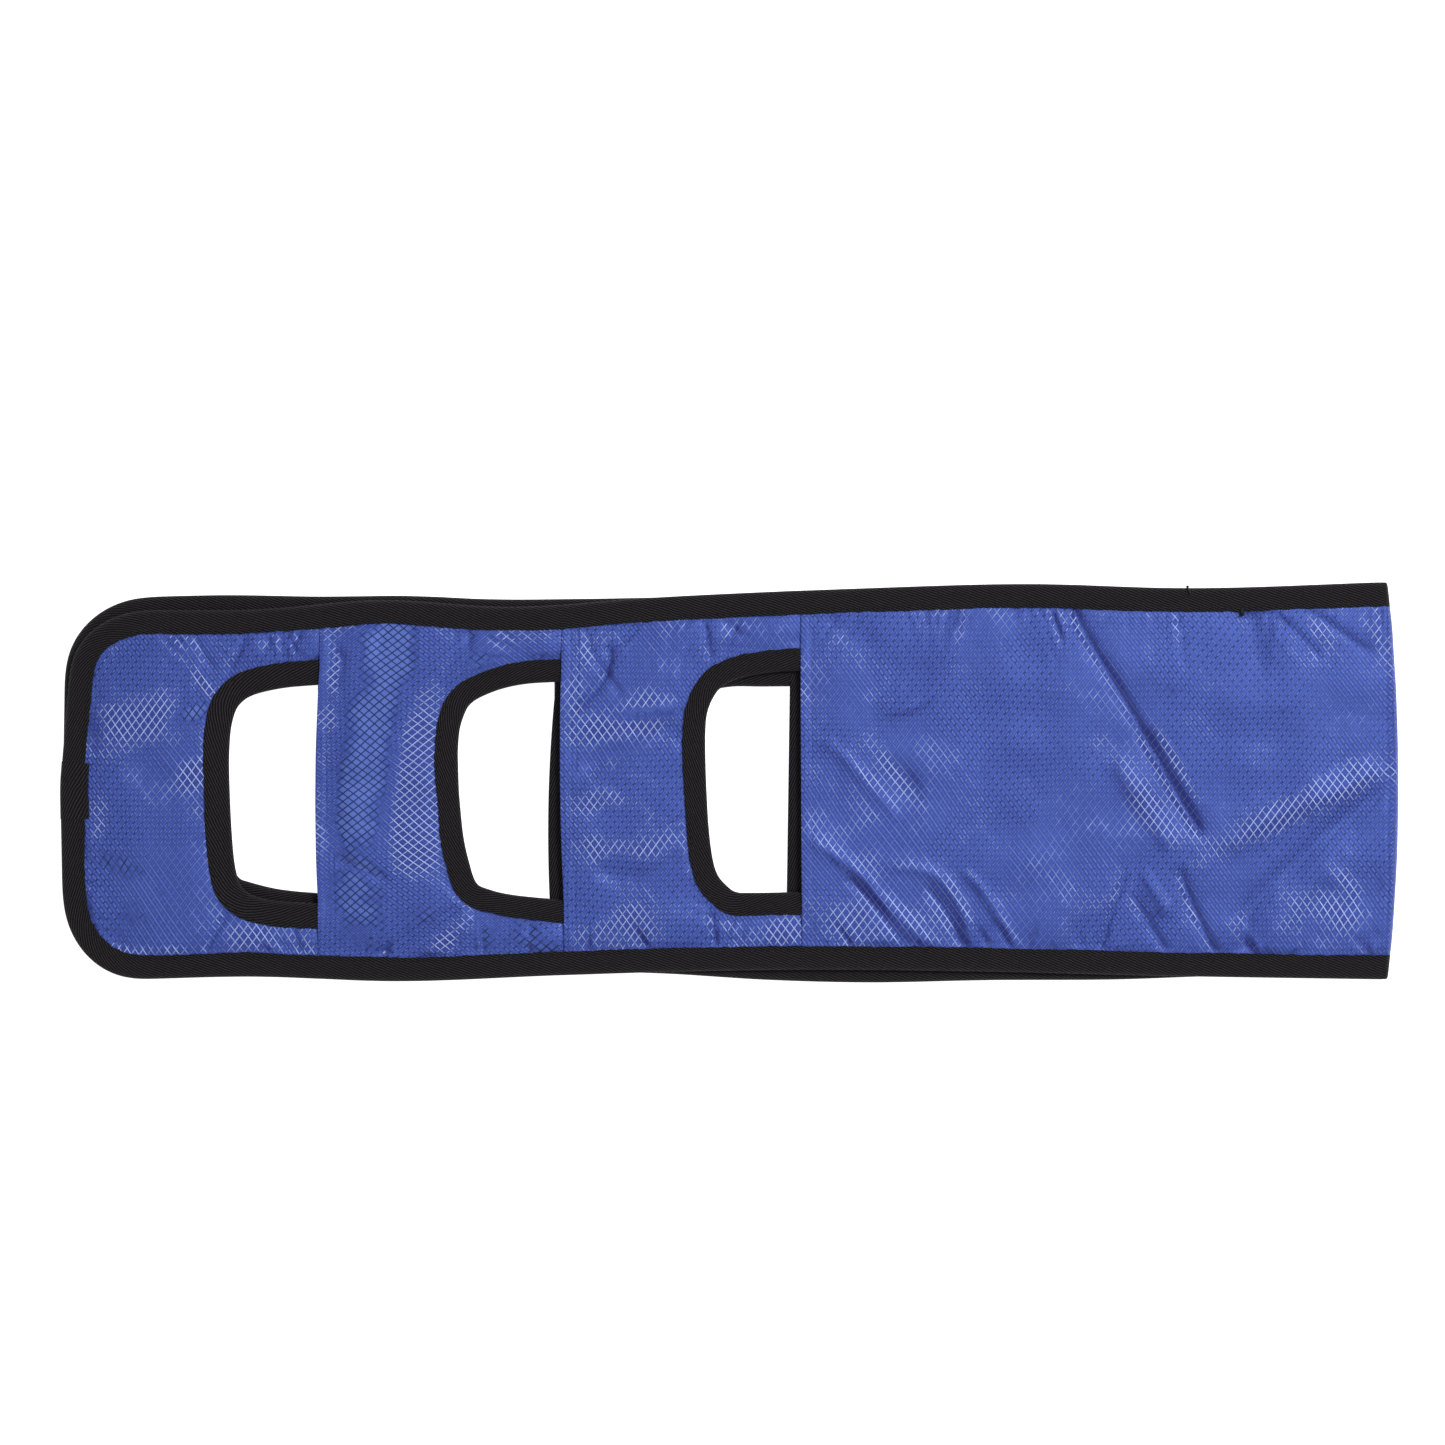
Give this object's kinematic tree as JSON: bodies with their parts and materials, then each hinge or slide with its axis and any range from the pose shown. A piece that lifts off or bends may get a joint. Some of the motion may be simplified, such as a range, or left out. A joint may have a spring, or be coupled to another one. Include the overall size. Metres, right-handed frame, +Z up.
{
  "type": "gait belt",
  "caption": "Wide padded fabric gait belt folded double and laid flat, with D-shaped hand holes bound in black tape near both ends.",
  "frame": {"origin": "middle of the folded belt, on the surface that it lies on", "axes": "+X along the belt from the rounded ends to the fold, +Y across the belt, +Z up through the two stacked halves"},
  "size_m": [0.6678, 0.201, 0.0107],
  "materials": {
    "ripstop_shell": "royal blue nylon ripstop with a fine diamond grid and a soft sheen",
    "lining": "plain blue woven nylon lining, matt",
    "padding": "thin pale grey foam or wadding, not seen in use",
    "twill_tape": "black twill binding tape, matt, with diagonal ribs",
    "thread": "blue polyester sewing thread"
  },
  "bodies": {
    "lower_half": {"lower_centre_lining": "lining", "lower_centre_padding": "padding", "lower_centre_shell": "ripstop_shell", "lower_end_tape": "twill_tape", "lower_far_edge_tape": "twill_tape", "lower_hem_1_stitching": "thread", "lower_hem_1_tape": "twill_tape", "lower_hem_2_stitching": "thread", "lower_hem_2_tape": "twill_tape", "lower_hem_3_stitching": "thread", "lower_hem_3_tape": "twill_tape", "lower_hole_1_binding": "twill_tape", "lower_hole_2_binding": "twill_tape", "lower_hole_3_binding": "twill_tape", "lower_near_edge_tape": "twill_tape", "lower_panel_1_lining": "lining", "lower_panel_1_padding": "padding", "lower_panel_1_shell": "ripstop_shell", "lower_panel_2_lining": "lining", "lower_panel_2_padding": "padding", "lower_panel_2_shell": "ripstop_shell", "lower_panel_3_lining": "lining", "lower_panel_3_padding": "padding", "lower_panel_3_shell": "ripstop_shell"},
    "upper_centre": {"upper_centre_far_edge_tape": "twill_tape", "upper_centre_lining": "lining", "upper_centre_near_edge_tape": "twill_tape", "upper_centre_padding": "padding", "upper_centre_shell": "ripstop_shell", "upper_hem_3_stitching": "thread", "upper_hem_3_tape": "twill_tape"},
    "upper_panel_3": {"upper_hem_2_stitching": "thread", "upper_hem_2_tape": "twill_tape", "upper_hole_3_binding": "twill_tape", "upper_panel_3_far_edge_tape": "twill_tape", "upper_panel_3_lining": "lining", "upper_panel_3_near_edge_tape": "twill_tape", "upper_panel_3_padding": "padding", "upper_panel_3_shell": "ripstop_shell"},
    "upper_panel_2": {"upper_hem_1_stitching": "thread", "upper_hem_1_tape": "twill_tape", "upper_hole_2_binding": "twill_tape", "upper_panel_2_far_edge_tape": "twill_tape", "upper_panel_2_lining": "lining", "upper_panel_2_near_edge_tape": "twill_tape", "upper_panel_2_padding": "padding", "upper_panel_2_shell": "ripstop_shell"},
    "upper_panel_1": {"upper_end_tape": "twill_tape", "upper_hole_1_binding": "twill_tape", "upper_panel_1_lining": "lining", "upper_panel_1_padding": "padding", "upper_panel_1_shell": "ripstop_shell"}
  },
  "joints": [
    {"name": "centre_fold", "type": "hinge", "parent": "lower_half", "child": "upper_centre", "pos_m": [0.334, 0, 0.00535], "axis": [0, -1, 0], "range_deg": [-179.9, 0]},
    {"name": "panel_3_bend", "type": "hinge", "parent": "upper_centre", "child": "upper_panel_3", "pos_m": [0.037, 0, 0.0107], "axis": [0, 1, 0], "range_deg": [0, 65]},
    {"name": "panel_2_bend", "type": "hinge", "parent": "upper_panel_3", "child": "upper_panel_2", "pos_m": [-0.0825, 0, 0.0107], "axis": [0, 1, 0], "range_deg": [0, 65]},
    {"name": "panel_1_bend", "type": "hinge", "parent": "upper_panel_2", "child": "upper_panel_1", "pos_m": [-0.204, 0, 0.0107], "axis": [0, 1, 0], "range_deg": [0, 65]}
  ]
}
